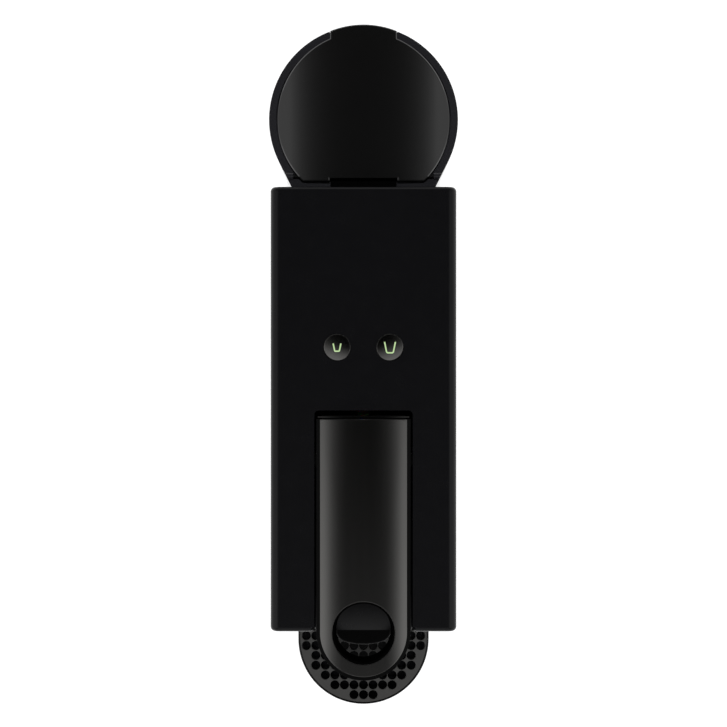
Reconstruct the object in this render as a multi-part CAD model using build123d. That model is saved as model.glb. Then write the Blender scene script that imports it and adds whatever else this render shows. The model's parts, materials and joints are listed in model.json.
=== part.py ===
from build123d import *
from math import atan, cos, radians, sin, sqrt
import os

# A slim pod coffee machine. Sizes in millimetres, angles in degrees.
# Frame: X across, front towards -Y, Z up, origin under the middle of the outline.

# Reach of the three main masses from front to back, and the feet below
tray_reach = 60.5
shell_length = 196.0
tank_reach = 73.5
foot_height = 2.0

# Gaps between pieces
slide_gap = 0.3
fit_gap = 0.2
pin_gap = 0.05

# Outer shell and panels
shell_width = 82.1
shell_top = 200.0
shell_wall = 2.5
shell_edge_radius = 4.0
shell_end_radius = 2.0
panel_wall = 2.5

# Base and feet
base_floor = 3.0
base_wall = 2.5
foot_width = 9.0
foot_length = 16.0
foot_recess = 1.0
foot_inset = 12.0

# Lever
lever_top = 204.0
lever_width = 41.4
lever_depth = 12.5
lever_length = 93.7
lever_crown_radius = 75.0
lever_skin = 2.0
lever_hole_radius = 13.8
lever_tail = 18.5
lever_lip = 1.5
lever_lip_drop = 0.4
lever_side_gap = 0.95
lever_rear_gap = 2.25
lever_travel_angle = 80.0
slot_corner_radius = 2.0
axle_drop = 11.5
axle_radius = 3.0

# Linkage that pulls the capsule cage back when the lever opens
crank_radius = 14.0
crank_angle = 15.0
yoke_radius = 24.0
link_plate = 2.8
link_lane_gap = 0.4
link_eye_radius = 3.5
link_bar_width = 5.0
link_pin_radius = 1.75
rocker_shaft_radius = 2.5
rocker_hub_radius = 4.5
yoke_pin_radius = 2.0
yoke_slot_play = 0.8

# Brew group
brew_height = 146.0
head_thickness = 10.0
head_height = 54.0
cage_flange_radius = 21.0
cage_flange_length = 8.0
cage_length = 32.0
cage_front_radius = 19.5
cage_rear_radius = 15.5
capsule_rim_radius = 15.0
capsule_end_radius = 11.5
capsule_depth = 25.0
capsule_opening_width = 38.0
cage_seal_radius = 19.0
cage_seal_depth = 1.5
blade_length = 5.0
blade_width = 3.0
blade_thickness = 0.8
blade_circle_radius = 6.0
injection_plate_thickness = 1.2
extraction_plate_radius = 17.5
extraction_plate_thickness = 2.5
guide_rod_radius = 3.0
guide_ear_radius = 5.5
stem_width = 15.0
stem_length = 22.0
bridge_thickness = 6.0
bridge_gap = 14.0

# Chassis cheeks
cheek_thickness = 3.0
cheek_side_space = 4.0

# Spout
spout_width = 26.0
spout_reach = 13.0
spout_bottom = 128.0
spout_height = 24.0
spout_wall = 2.0
spout_corner_radius = 6.0
spout_bow = 3.0
nozzle_radius = 4.5
nozzle_bore_radius = 3.0
nozzle_drop = 10.0
nozzle_overhang = 2.0

# Capsule chute under the lever
chute_deck = 3.0
chute_wall = 2.0
chute_gap_above_cage = 2.0
nose_gap_under_lever = 4.0
nose_length = 12.0
nose_depth = 6.0
nose_overhang = 1.0
nose_crown_radius = 75.0

# Buttons
button_radius = 5.8
button_spacing = 23.3
button_setback = 27.75
button_gap = 0.25
button_travel = 1.2
button_height = 6.0
button_proud = 0.3
button_flange = 1.2
button_dome_radius = 40.0
button_dome_shift = 5.4
button_lean = 22.0
button_stem_width = 3.5
button_stem_length = 2.5
switch_size = 6.0
switch_height = 4.3
board_thickness = 1.6
carrier_wall = 2.0
carrier_width = 48.0
carrier_length = 26.0

# Water tank
tank_diameter = 84.6
tank_top = 186.0
tank_seat = 26.0
tank_wall = 2.2
tank_floor = 3.0
tank_rim_width = 3.1
tank_rim_depth = 4.0
tank_ledge_width = 2.0
tank_neck_slope = 0.5
tank_shell_gap = 0.7
tank_inset_at_plinth = 0.4
lid_plate = 2.5
lid_crown_radius = 150.0
lid_skin = 2.0
lid_gap = 0.6
lid_tab_width = 29.7
lid_front_reach = 2.4
lid_front_wall = 5.1
lid_slot_width = 30.4
lid_slot_depth = 1.1
lid_pin_radius = 0.8
lid_pin_setback = 5.3
lid_pin_grip = 1.6
lid_pin_depth = 5.0
lid_ear_radius = 1.8
lid_corner_room = 2.2
hinge_deck_drop = 2.5
valve_setback = 20.0
valve_radius = 8.0
valve_height = 13.0
valve_wall = 2.5
valve_mouth_radius = 2.0
poppet_thickness = 2.0
spigot_radius = 4.4
spigot_bore_radius = 2.5
spigot_height = 7.0
spigot_flange = 2.0
spigot_seal_section = 1.6
gland_angle = 50.0
gland_height = 12.0
gland_radius = 5.0
gland_bore_radius = 3.4
gland_flange = 2.0

# Drip tray, grid and capsule container
tray_top = 46.0
tray_bottom = 3.5
tray_width = 68.4
tray_wall = 2.2
tray_lip = 0.8
tongue_thickness = 2.5
grid_thickness = 2.0
grid_hole_radius = 2.15
grid_pitch_x = 5.0
grid_pitch_y = 5.15
grid_border = 1.1
grid_row_inset = 1.75
container_top = 84.0
container_length = 70.0
container_wall = 2.0

# Water path inside
pump_height = 42.0
pump_front_gap = 12.0
pump_rear_gap = 25.0
pump_core_radius = 9.0
pump_coil_width = 42.0
pump_coil_gap = 5.0
pump_coil_height = 40.0
pump_mount_side = 28.0
pump_mount_width = 6.0
pump_mount_inset = 12.0
saddle_margin = 3.0
meter_radius = 10.0
meter_height = 18.0
hose_radius = 3.0
hose_floor_gap = 0.5
meter_setback = 6.0
heater_front_gap = 4.8
heater_rear_gap = 25.0
heater_width = 46.0
heater_bottom = 102.0
heater_height = 56.0
heater_edge_radius = 6.0
heater_lug = 4.0
terminal_width = 6.3
terminal_thickness = 0.8
terminal_length = 8.0
terminal_spacing = 30.0
fuse_radius = 4.0
fuse_height = 6.0
board_bottom = 60.0
board_height = 110.0
board_width = 56.0
board_standoff = 5.0
board_part_depth = 10.0

# Places that follow from the sizes above
overall_depth = tray_reach + shell_length + tank_reach
rear_end = overall_depth / 2
front_end = -overall_depth / 2
front_y = front_end + tray_reach
rear_y = front_y + shell_length
shell_half = shell_width / 2
inner_half = shell_half - shell_wall
inner_top = shell_top - shell_wall
base_top = foot_height + base_floor
panel_back = front_y + panel_wall
rear_panel_front = rear_y - panel_wall

cheek_outer = inner_half - cheek_side_space
cheek_inner = cheek_outer - cheek_thickness
cheek_top = inner_top - fit_gap
span_half = cheek_inner - fit_gap
rod_x = cheek_inner - guide_ear_radius - slide_gap

lever_hole_y = front_y
lever_rear_y = lever_hole_y + lever_length
lever_half = lever_width / 2
lever_bottom = lever_top - lever_depth
slot_half = lever_half + lever_side_gap
slot_rear_y = lever_rear_y + lever_lip + lever_rear_gap
axle_y = lever_rear_y - lever_tail
axle_z = lever_top - axle_drop
nose_top = lever_bottom - nose_gap_under_lever

extraction_y = panel_back + fit_gap + head_thickness
head_bottom = brew_height - head_height / 2
head_top = brew_height + head_height / 2
cage_front_y = extraction_y + slide_gap
cage_rear_y = cage_front_y + cage_length

# The yoke swings evenly about the upright, so its shaft sits below the brew axis
# by the mean height of the yoke pin.
yoke_swing = lever_travel_angle / 2
yoke_rise_low = yoke_radius * cos(radians(yoke_swing))
rocker_y = axle_y
rocker_z = brew_height - (yoke_radius + yoke_rise_low) / 2
yoke_pin_y = rocker_y - yoke_radius * sin(radians(yoke_swing))
yoke_pin_z = rocker_z + yoke_rise_low
crank_y = crank_radius * cos(radians(crank_angle))
crank_z = crank_radius * sin(radians(crank_angle))

stem_half = stem_width / 2
yoke_lane = stem_half + link_lane_gap
rod_lane = yoke_lane + link_plate + link_lane_gap
fork_lane = rod_lane + link_plate + link_lane_gap
fork_outer = fork_lane + link_plate
stem_rear_y = cage_rear_y + stem_length
bridge_y = axle_y + lever_tail + bridge_gap
bridge_rear_y = bridge_y + bridge_thickness
button_y = slot_rear_y + button_setback

tank_radius = tank_diameter / 2
tank_y = rear_end - tank_radius
tank_front_y = rear_y + tank_shell_gap
lid_inset = tank_rim_width + lid_gap
lid_radius = tank_radius - lid_inset
lid_pin_y = tank_front_y + lid_pin_setback
lid_pin_z = tank_top
lid_front_y = lid_pin_y - lid_front_reach
ledge_front_y = lid_front_y + lid_front_wall
lid_hinge_half = sqrt(lid_radius**2 - (tank_y - lid_pin_y) ** 2)
lid_pin_start = lid_hinge_half - lid_pin_depth
hinge_deck_half = lid_hinge_half + lid_corner_room
lid_pin_end = hinge_deck_half + lid_pin_grip
ledge_z = tank_top - tank_rim_depth
valve_y = tank_front_y + valve_setback

tray_half = tray_width / 2
tray_y = front_end + tray_half
tray_back_y = front_y - slide_gap
tongue_z = base_top + slide_gap
tongue_top = tongue_z + tongue_thickness
container_half = cheek_inner - slide_gap
container_rear_y = panel_back + container_length
grid_z = tray_top - grid_thickness

pump_front = container_rear_y + pump_front_gap
pump_rear = rear_panel_front - pump_rear_gap
meter_y = rear_panel_front - meter_radius - meter_setback
suction_z = base_top + hose_floor_gap + hose_radius
heater_top = heater_bottom + heater_height
heater_front = bridge_rear_y + heater_front_gap
heater_rear = rear_panel_front - heater_rear_gap
feed_hose_z = yoke_pin_z + yoke_pin_radius + 2 * hose_radius
pump_outlet_y = pump_front + 2 * hose_radius
pressure_hose_z = (pump_height + pump_coil_height / 2 + heater_bottom) / 2
inlet_y = heater_front + 4 * hose_radius


def block(x0, x1, y0, y1, z0, z1):
    """A box given by its two ends along each axis."""
    middle = Pos((x0 + x1) / 2, (y0 + y1) / 2, (z0 + z1) / 2)
    return middle * Box(x1 - x0, y1 - y0, z1 - z0)


def rod_along_x(y, z, radius, x0, x1):
    """A round bar across the machine."""
    return Pos((x0 + x1) / 2, y, z) * Rot(0, 90, 0) * Cylinder(radius, x1 - x0)


def rod_along_y(x, z, radius, y0, y1):
    """A round bar from front to back."""
    return Pos(x, (y0 + y1) / 2, z) * Rot(90, 0, 0) * Cylinder(radius, y1 - y0)


def rod_along_z(x, y, radius, z0, z1):
    """An upright round bar."""
    return Pos(x, y, (z0 + z1) / 2) * Cylinder(radius, z1 - z0)


def prism(outline, z0, z1):
    """An outline on the ground plane, raised from one height to another."""
    return Pos(0, 0, z0) * extrude(outline, z1 - z0)


def mirrored(shape):
    """A piece and its mirror image across the middle plane."""
    return [shape, mirror(shape, Plane.YZ)]


def bent_bar(points, radius):
    """A round bar through the given points with mitred corners."""
    path = Polyline(*points)
    section = Plane(path @ 0, z_dir=path % 0) * Circle(radius)
    return sweep(section, path=path, transition=Transition.RIGHT)


def link_plate_between(x, start, end, radius):
    """A flat link in an upright plane with a round end at each of two points."""
    length = sqrt((end[0] - start[0]) ** 2 + (end[1] - start[1]) ** 2)
    middle = ((start[0] + end[0]) / 2, (start[1] + end[1]) / 2)
    along = (0, end[0] - start[0], end[1] - start[1])
    plane = Plane(origin=(x, middle[0], middle[1]), x_dir=along, z_dir=(1, 0, 0))
    return extrude(plane * SlotCenterToCenter(length, 2 * radius), link_plate)


# Outlines seen from above


def tank_outline(inset, front):
    """The tank's round back with straight sides that run in to its narrow front."""
    radius = tank_radius - inset
    lean = atan(tank_neck_slope)
    side_x = radius * cos(lean)
    side_y = tank_y - radius * sin(lean)
    neck_x = side_x - tank_neck_slope * (side_y - front)
    neck = Polygon(
        (side_x, side_y), (-side_x, side_y), (-neck_x, front), (neck_x, front), align=None
    )
    behind_front = Pos(0, front + tank_diameter) * Rectangle(tank_diameter, 2 * tank_diameter)
    return (neck + Pos(0, tank_y) * Circle(radius)) & behind_front


def lid_outline(inset, front):
    """The lid's round shape, cut straight along the hinge."""
    behind_front = Pos(0, front + tank_diameter) * Rectangle(tank_diameter, 2 * tank_diameter)
    return Pos(0, tank_y) * Circle(tank_radius - inset) & behind_front


def tray_outline(inset, back):
    """The drip tray's D shape: straight back, half-round front."""
    radius = tray_half - inset
    straight = Pos(0, (tray_y + back) / 2) * Rectangle(2 * radius, back - tray_y)
    before_back = Pos(0, back - tray_width) * Rectangle(tray_width, 2 * tray_width)
    return (straight + Pos(0, tray_y) * Circle(radius)) & before_back


def lever_outline(inset, rear):
    """The lever's strip with its half-round front end."""
    radius = lever_half - inset
    straight = Pos(0, (lever_hole_y + rear) / 2) * Rectangle(2 * radius, rear - lever_hole_y)
    return straight + Pos(0, lever_hole_y) * Circle(radius)


def arch(top, radius):
    """A long round bar whose upper side arches across the machine up to a given height."""
    return rod_along_y(0, top - radius, radius, front_end, rear_end)


# Casing


def outer_shell():
    """An upside-down U with the lever slot and the two button holes."""
    outer = block(-shell_half, shell_half, front_y, rear_y, base_top, shell_top)
    outer = fillet(outer.edges().filter_by(Axis.Y).group_by(Axis.Z)[-1], shell_edge_radius)
    bottom_edges = outer.edges().group_by(Axis.Z)[0]
    ends = outer.faces().filter_by(Axis.Y).edges() - bottom_edges
    outer = fillet(ends, shell_end_radius)
    inner = block(-inner_half, inner_half, front_y, rear_y, base_top, inner_top)
    shell = outer - inner
    slot = Pos(0, (front_y + slot_rear_y) / 2) * Rectangle(2 * slot_half, slot_rear_y - front_y)
    slot = fillet(slot.vertices().group_by(Axis.Y)[-1], slot_corner_radius)
    shell -= prism(slot, inner_top, shell_top)
    for side in (-1, 1):
        x = side * button_spacing / 2
        shell -= rod_along_z(x, button_y, button_radius + button_gap, inner_top, shell_top)
    corners = shell.edges().filter_by(Axis.Z).group_by(Axis.Y)[0]
    corners = [edge for edge in corners if abs(edge.center().X) < inner_half]
    return fillet(corners, slot_corner_radius)


def front_panel():
    """The upright front wall, with the rounded nose that closes the slot under the lever."""
    side = inner_half - fit_gap
    panel = block(-side, side, front_y, panel_back, container_top + slide_gap, inner_top - fit_gap)
    nose_low = nose_top - nose_depth
    panel -= block(-slot_half, slot_half, front_y, panel_back, nose_low, shell_top)
    nose_front = front_y - nose_overhang
    nose_rear = panel_back + nose_length
    nose = block(-slot_half, slot_half, nose_front, nose_rear, nose_low, nose_top)
    crown_z = nose_top - nose_crown_radius
    panel += nose & rod_along_x(nose_rear, crown_z, nose_crown_radius, -slot_half, slot_half)
    drain_z = brew_height - nozzle_drop
    return panel - rod_along_y(0, drain_z, nozzle_radius + fit_gap, front_y, panel_back)


def rear_panel():
    """The upright back wall, with a hole for the suction hose."""
    side = inner_half - fit_gap
    panel = block(-side, side, rear_panel_front, rear_y, base_top, inner_top - fit_gap)
    hole_radius = hose_radius + slide_gap
    return panel - rod_along_y(0, suction_z, hole_radius, rear_panel_front, rear_y)


def foot_places():
    """Two feet under the shell's front corners and two under the tank."""
    side = inner_half - foot_inset
    return [(x, y) for x in (-side, side) for y in (front_y + foot_inset, tank_y)]


def gland_place():
    """The cord's way out, square to the round wall of the plinth."""
    outside = tank_radius - tank_inset_at_plinth
    x = -outside * sin(radians(gland_angle))
    y = tank_y + outside * cos(radians(gland_angle))
    return Pos(x, y, gland_height) * Rot(0, 0, gland_angle) * Rot(-90, 0, 0)


def base_plate():
    """The floor, the hollow plinth under the tank, and the pump's two saddles."""
    side = inner_half - fit_gap
    base = block(-side, side, front_y, rear_y, foot_height, base_top)
    outside = tank_outline(tank_inset_at_plinth, rear_y)
    inside = tank_outline(tank_inset_at_plinth + base_wall, rear_y + base_wall)
    base += prism(outside, foot_height, tank_seat)
    base -= prism(inside, foot_height, tank_seat - base_wall)
    for x, y in foot_places():
        if y > rear_y:
            base += foot_at(x, y, base_wall, foot_height, tank_seat - base_wall)
        base -= foot_at(x, y, pin_gap, foot_height, foot_height + foot_recess)
    for y in pump_mount_places():
        half = pump_mount_width / 2
        seat = pump_mount_side / 2
        outer = seat + saddle_margin
        seat_z = pump_height - seat
        base += block(-outer, outer, y - half, y + half, base_top, pump_height)
        base -= block(-seat, seat, y - half, y + half, seat_z, pump_height)
    base -= rod_along_y(0, suction_z, hose_radius + slide_gap, rear_y, rear_y + base_wall)
    spigot_hole = spigot_radius + pin_gap
    base -= rod_along_z(0, valve_y, spigot_hole, tank_seat - base_wall, tank_seat)
    boss_side = 2 * (gland_radius + base_wall)
    boss = Pos(0, 0, -base_wall) * Box(boss_side, boss_side, 2 * base_wall)
    base += gland_place() * boss
    return base - gland_place() * Cylinder(gland_radius + pin_gap, 4 * base_wall)


def foot_at(x, y, margin, low, high):
    """An upright block around one foot's place."""
    half_width = foot_width / 2 + margin
    half_length = foot_length / 2 + margin
    return block(x - half_width, x + half_width, y - half_length, y + half_length, low, high)


def rubber_feet():
    """Four rubber pads let into the base."""
    return [foot_at(x, y, 0, 0, foot_height + foot_recess) for x, y in foot_places()]


def cord_gland():
    """A bush with an outside flange, where the supply cord would leave."""
    body = Pos(0, 0, -base_wall) * Cylinder(gland_radius, 2 * base_wall)
    flange = Pos(0, 0, gland_flange / 2) * Cylinder(gland_radius + gland_flange, gland_flange)
    bore = Cylinder(gland_bore_radius, 4 * base_wall + 2 * gland_flange)
    return gland_place() * (body + flange - bore)


def cheek():
    """An upright chassis plate with two windows and the bores of both shafts."""
    plate = block(
        cheek_inner,
        cheek_outer,
        panel_back + fit_gap,
        rear_panel_front - fit_gap,
        base_top,
        cheek_top,
    )
    low = block(0, cheek_outer, container_rear_y + foot_inset, heater_rear, base_top, heater_bottom)
    inset = 2 * cheek_thickness
    low = low & block(0, cheek_outer, front_y, rear_y, base_top + foot_inset, heater_bottom - inset)
    plate -= low
    high = block(0, cheek_outer, heater_front, heater_rear, heater_top + inset, cheek_top - inset)
    plate -= high
    plate -= rod_along_x(axle_y, axle_z, axle_radius + pin_gap, 0, shell_half)
    plate -= rod_along_x(rocker_y, rocker_z, rocker_shaft_radius + pin_gap, 0, shell_half)
    return plate


# Brew group


def extraction_head():
    """The fixed front of the brew group, with a seat for the plate and a drain."""
    front = panel_back + fit_gap
    head = block(-span_half, span_half, front, extraction_y, head_bottom, head_top)
    seat = extraction_y - extraction_plate_thickness
    head -= rod_along_y(0, brew_height, extraction_plate_radius + fit_gap, seat, extraction_y)
    drain_z = brew_height - nozzle_drop
    head -= rod_along_y(0, drain_z, nozzle_radius + pin_gap, front, seat)
    for x in (-rod_x, rod_x):
        head -= rod_along_y(x, brew_height, guide_rod_radius + pin_gap, front, extraction_y)
    return head


def extraction_plate():
    """The plate that the capsule's foil bursts against, with its ring of drain holes."""
    front = extraction_y - extraction_plate_thickness
    plate = rod_along_y(0, brew_height, extraction_plate_radius, front, extraction_y)
    for place in PolarLocations(nozzle_drop, 6):
        x, z = place.position.X, brew_height + place.position.Y
        hole = block(-pin_width(), pin_width(), front, extraction_y, -pin_width(), pin_width())
        plate -= Pos(x, 0, z) * hole
    return plate


def pin_width():
    """Half the width of a square drain hole in the extraction plate."""
    return nozzle_bore_radius / 2


def spout_nozzle():
    """A bent tube from the extraction head's drain down to the cup."""
    z = brew_height - nozzle_drop
    y = front_y - spout_reach / 2
    seat = extraction_y - extraction_plate_thickness
    points = [(0, seat, z), (0, y, z), (0, y, spout_bottom - nozzle_overhang)]
    return bent_bar(points, nozzle_radius) - bent_bar(points, nozzle_bore_radius)


def spout_outline(inset):
    """The spout cover from above: straight back, slightly bowed front."""
    half = spout_width / 2 - inset
    tip = front_y - spout_reach + inset
    side = tip + spout_bow
    bow = ThreePointArc((-half, side), (0, tip), (half, side))
    rest = Polyline((half, side), (half, front_y), (-half, front_y), (-half, side))
    outline = make_face([bow, rest])
    return fillet(outline.vertices().group_by(Axis.Y)[0], spout_corner_radius - inset)


def coffee_spout():
    """A cover over the nozzle, open below and at the panel."""
    top = spout_bottom + spout_height
    cover = prism(spout_outline(0), spout_bottom, top)
    return cover - prism(spout_outline(spout_wall), spout_bottom, top - spout_wall)


def guide_rods():
    """Two round rods that the capsule cage slides on."""
    front = panel_back + fit_gap
    return mirrored(rod_along_y(rod_x, brew_height, guide_rod_radius, front, bridge_rear_y))


def rear_bridge():
    """A cross member that carries the rods' rear ends, with a hole for the feed hose."""
    bridge = block(-span_half, span_half, bridge_y, bridge_rear_y, head_bottom, head_top)
    for x in (-rod_x, rod_x):
        bridge -= rod_along_y(x, brew_height, guide_rod_radius + pin_gap, bridge_y, bridge_rear_y)
    window_low = feed_hose_z - hose_radius - slide_gap
    window = block(-stem_half, stem_half, bridge_y, bridge_rear_y, window_low, head_top)
    return bridge - window


def capsule_chute():
    """A deck under the lever with a funnel that guides the capsule down."""
    deck_bottom = head_top + fit_gap
    low = brew_height + cage_flange_radius + chute_gap_above_cage
    rear = cage_rear_y + chute_wall
    half = capsule_opening_width / 2
    mouth_rear = cage_front_y + capsule_depth + 2 * chute_wall
    front = panel_back + fit_gap
    deck = block(-span_half, span_half, front, rear, deck_bottom, deck_bottom + chute_deck)
    outer = half + chute_wall
    funnel_front = extraction_y + fit_gap
    funnel = block(-outer, outer, funnel_front, mouth_rear + chute_wall, low, deck_bottom)
    mouth = block(-half, half, extraction_y + slide_gap + chute_wall, mouth_rear, low, shell_top)
    return deck + funnel - mouth


def capsule_cage():
    """The moving cup that holds the capsule, with its two arms and its slotted stem."""
    flange_rear = cage_front_y + cage_flange_length
    cage = rod_along_y(0, brew_height, cage_flange_radius, cage_front_y, flange_rear)
    cup_length = cage_rear_y - flange_rear
    cup_place = Pos(0, (flange_rear + cage_rear_y) / 2, brew_height) * Rot(-90, 0, 0)
    cage += cup_place * Cone(cage_front_radius, cage_rear_radius, cup_length)
    arm_low = brew_height - guide_ear_radius
    arm_high = brew_height + guide_ear_radius
    cage += block(-rod_x, rod_x, cage_front_y, flange_rear, arm_low, arm_high)
    for x in (-rod_x, rod_x):
        cage += rod_along_y(x, brew_height, guide_ear_radius, cage_front_y, flange_rear)
    stem_low = yoke_slot_low() - yoke_pin_radius
    stem_high = feed_hose_z + hose_radius
    cage += block(-stem_half, stem_half, cage_rear_y - base_wall, stem_rear_y, stem_low, stem_high)
    for x in (-rod_x, rod_x):
        cage -= rod_along_y(x, brew_height, guide_rod_radius + pin_gap, cage_front_y, flange_rear)
    capsule_place = Pos(0, cage_front_y + capsule_depth / 2, brew_height) * Rot(-90, 0, 0)
    cage -= capsule_place * Cone(capsule_rim_radius, capsule_end_radius, capsule_depth)
    seal_back = cage_front_y + cage_seal_depth
    cage -= rod_along_y(0, brew_height, cage_seal_radius, cage_front_y, seal_back)
    slot_half_width = yoke_pin_radius + yoke_slot_play
    slot = block(
        -stem_half,
        stem_half,
        yoke_pin_y - slot_half_width,
        yoke_pin_y + slot_half_width,
        yoke_slot_low(),
        rocker_z + yoke_radius + yoke_pin_radius + slide_gap,
    )
    return cage - slot


def yoke_slot_low():
    """Lower end of the slot in the cage's stem."""
    return yoke_pin_z - yoke_pin_radius - slide_gap


def cage_seal():
    """The ring that presses on the capsule's rim."""
    back = cage_front_y + cage_seal_depth
    ring = rod_along_y(0, brew_height, cage_seal_radius - pin_gap, cage_front_y, back)
    return ring - rod_along_y(0, brew_height, capsule_rim_radius + fit_gap, cage_front_y, back)


def injection_plate():
    """A disc at the cup's end with three blades that pierce the capsule."""
    back = cage_front_y + capsule_depth
    front = back - injection_plate_thickness
    plate = rod_along_y(0, brew_height, capsule_end_radius - slide_gap, front, back)
    for place in PolarLocations(blade_circle_radius, 3):
        half_width = blade_width / 2
        half_plate = blade_thickness / 2
        blade = block(-half_width, half_width, front - blade_length, front, -half_plate, half_plate)
        plate += Pos(place.position.X, 0, brew_height + place.position.Y) * blade
    return plate


# Lever and linkage


def lever_handle():
    """The crowned lever: a thin strip with side walls, and a solid finger loop in front."""
    handle = prism(lever_outline(0, lever_rear_y), lever_bottom, lever_top)
    handle &= arch(lever_top, lever_crown_radius)
    channel_front = lever_hole_y + lever_hole_radius + 2 * lever_skin
    half = lever_half - lever_skin
    channel = block(-half, half, channel_front, lever_rear_y, lever_bottom, lever_top)
    channel &= arch(lever_top - lever_skin, lever_crown_radius - lever_skin)
    handle -= channel
    handle -= rod_along_x(axle_y, axle_z, axle_radius + pin_gap, -lever_half, lever_half)
    return handle - rod_along_z(0, lever_hole_y, lever_hole_radius, lever_bottom, lever_top)


def lever_core():
    """The liner inside the lever: a flat web, a rear lip, and a fork for the axle."""
    half = lever_half - lever_skin - fit_gap
    sag = lever_crown_radius - sqrt(lever_crown_radius**2 - half**2)
    web_top = lever_top - lever_skin - sag - fit_gap
    web_bottom = lever_bottom + lever_skin
    web_front = lever_hole_y + lever_hole_radius + 2 * lever_skin + fit_gap
    web_rear = axle_y - crank_radius / 2
    core = block(-half, half, web_front, web_rear, web_bottom, web_top)
    fork_bottom = axle_z - 2 * axle_radius
    lip_rear = lever_rear_y + lever_lip
    fork = block(fork_lane, fork_outer, web_rear - crank_radius, lip_rear, fork_bottom, web_top)
    fork -= rod_along_x(axle_y, axle_z, axle_radius + pin_gap, 0, lever_half)
    crank = (axle_y + crank_y, axle_z + crank_z)
    fork -= rod_along_x(crank[0], crank[1], link_pin_radius + pin_gap, 0, lever_half)
    for side in mirrored(fork):
        core += side
    lip_top = lever_top - lever_skin - lever_lip_drop
    lip = block(-half, half, lever_rear_y, lip_rear, axle_z, lip_top)
    lip &= arch(lip_top, lever_crown_radius)
    rod_room = block(-fork_lane, fork_lane, lever_rear_y, lip_rear, axle_z, lip_top)
    lip -= rod_room & arch(lip_top - lever_lip, lever_crown_radius)
    return core + lip


def lever_axle():
    """The shaft that the lever turns on, from cheek to cheek."""
    return rod_along_x(axle_y, axle_z, axle_radius, -cheek_outer, cheek_outer)


def crank_pins():
    """Two pins that join the lever's fork to the tie rods."""
    y = axle_y + crank_y
    z = axle_z + crank_z
    return mirrored(rod_along_x(y, z, link_pin_radius, rod_lane, fork_outer))


def tie_rods():
    """Two upright bars that carry the lever's swing down to the rocker."""
    top = (axle_y + crank_y, axle_z + crank_z)
    bottom = (rocker_y + crank_y, rocker_z + crank_z)
    bar_half = link_bar_width / 2
    lane_end = rod_lane + link_plate
    rod = block(rod_lane, lane_end, top[0] - bar_half, top[0] + bar_half, bottom[1], top[1])
    for y, z in (top, bottom):
        rod += rod_along_x(y, z, link_eye_radius, rod_lane, lane_end)
    for y, z in (top, bottom):
        rod -= rod_along_x(y, z, link_pin_radius + pin_gap, rod_lane, lane_end)
    return mirrored(rod)


def rocker_yoke():
    """Two bell-crank plates on one hub: tie rods behind, yoke pin above."""
    hub = (rocker_y, rocker_z)
    crank = (rocker_y + crank_y, rocker_z + crank_z)
    yoke = (yoke_pin_y, yoke_pin_z)
    plate = link_plate_between(yoke_lane, hub, crank, link_eye_radius)
    plate += link_plate_between(yoke_lane, hub, yoke, link_eye_radius)
    plate -= rod_along_x(crank[0], crank[1], link_pin_radius + pin_gap, 0, rod_lane)
    plate -= rod_along_x(yoke[0], yoke[1], yoke_pin_radius + pin_gap, 0, rod_lane)
    end = yoke_lane + link_plate
    rocker = rod_along_x(rocker_y, rocker_z, rocker_hub_radius, -end, end)
    for side in mirrored(plate):
        rocker += side
    return rocker - rod_along_x(rocker_y, rocker_z, rocker_shaft_radius + pin_gap, -end, end)


def rocker_shaft():
    """The fixed shaft that the rocker turns on."""
    return rod_along_x(rocker_y, rocker_z, rocker_shaft_radius, -cheek_outer, cheek_outer)


def rocker_pins():
    """Two pins that join the tie rods to the rocker."""
    y = rocker_y + crank_y
    z = rocker_z + crank_z
    return mirrored(rod_along_x(y, z, link_pin_radius, yoke_lane, rod_lane + link_plate))


def yoke_pin():
    """The cross pin that runs in the slot of the cage's stem."""
    end = yoke_lane + link_plate
    return rod_along_x(yoke_pin_y, yoke_pin_z, yoke_pin_radius, -end, end)


# Water and heat


def pump_mount_places():
    """Middle of each rubber mount along the pump."""
    offset = pump_mount_inset + pump_mount_width / 2
    return [pump_front + offset, pump_rear - offset]


def pump_core():
    """The pump's long round body."""
    return rod_along_y(0, pump_height, pump_core_radius, pump_front, pump_rear)


def pump_coil():
    """The square coil around the middle of the pump."""
    half = pump_coil_width / 2
    end_room = pump_mount_inset + pump_mount_width + pump_coil_gap
    coil = block(
        -half,
        half,
        pump_front + end_room,
        pump_rear - end_room,
        pump_height - pump_coil_height / 2,
        pump_height + pump_coil_height / 2,
    )
    return coil - rod_along_y(0, pump_height, pump_core_radius + pin_gap, pump_front, pump_rear)


def pump_mounts():
    """Two rubber blocks that hold the pump in the base's saddles."""
    blocks = []
    for y in pump_mount_places():
        half = pump_mount_width / 2
        side = pump_mount_side / 2
        mount = block(-side, side, y - half, y + half, pump_height - side, pump_height + side)
        hole = rod_along_y(0, pump_height, pump_core_radius + pin_gap, y - half, y + half)
        blocks.append(mount - hole)
    return blocks


def flow_meter():
    """A round meter between the tank and the pump."""
    return rod_along_z(0, meter_y, meter_radius, base_top, base_top + meter_height)


def suction_hose():
    """From the tank's spigot, through the back wall, to the meter."""
    top = tank_seat - base_wall - spigot_flange
    end = meter_y + meter_radius
    return bent_bar([(0, valve_y, top), (0, valve_y, suction_z), (0, end, suction_z)], hose_radius)


def meter_hose():
    """From the meter's top to the back of the pump."""
    top = base_top + meter_height
    points = [(0, meter_y, top), (0, meter_y, pump_height), (0, pump_rear, pump_height)]
    return bent_bar(points, hose_radius)


def pressure_hose():
    """From the pump's outlet up and over to the heater's underside."""
    start = pump_height + pump_core_radius - pin_gap
    points = [
        (0, pump_outlet_y, start),
        (0, pump_outlet_y, pressure_hose_z),
        (0, inlet_y, pressure_hose_z),
        (0, inlet_y, heater_bottom),
    ]
    return bent_bar(points, hose_radius) - pump_core()


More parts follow.
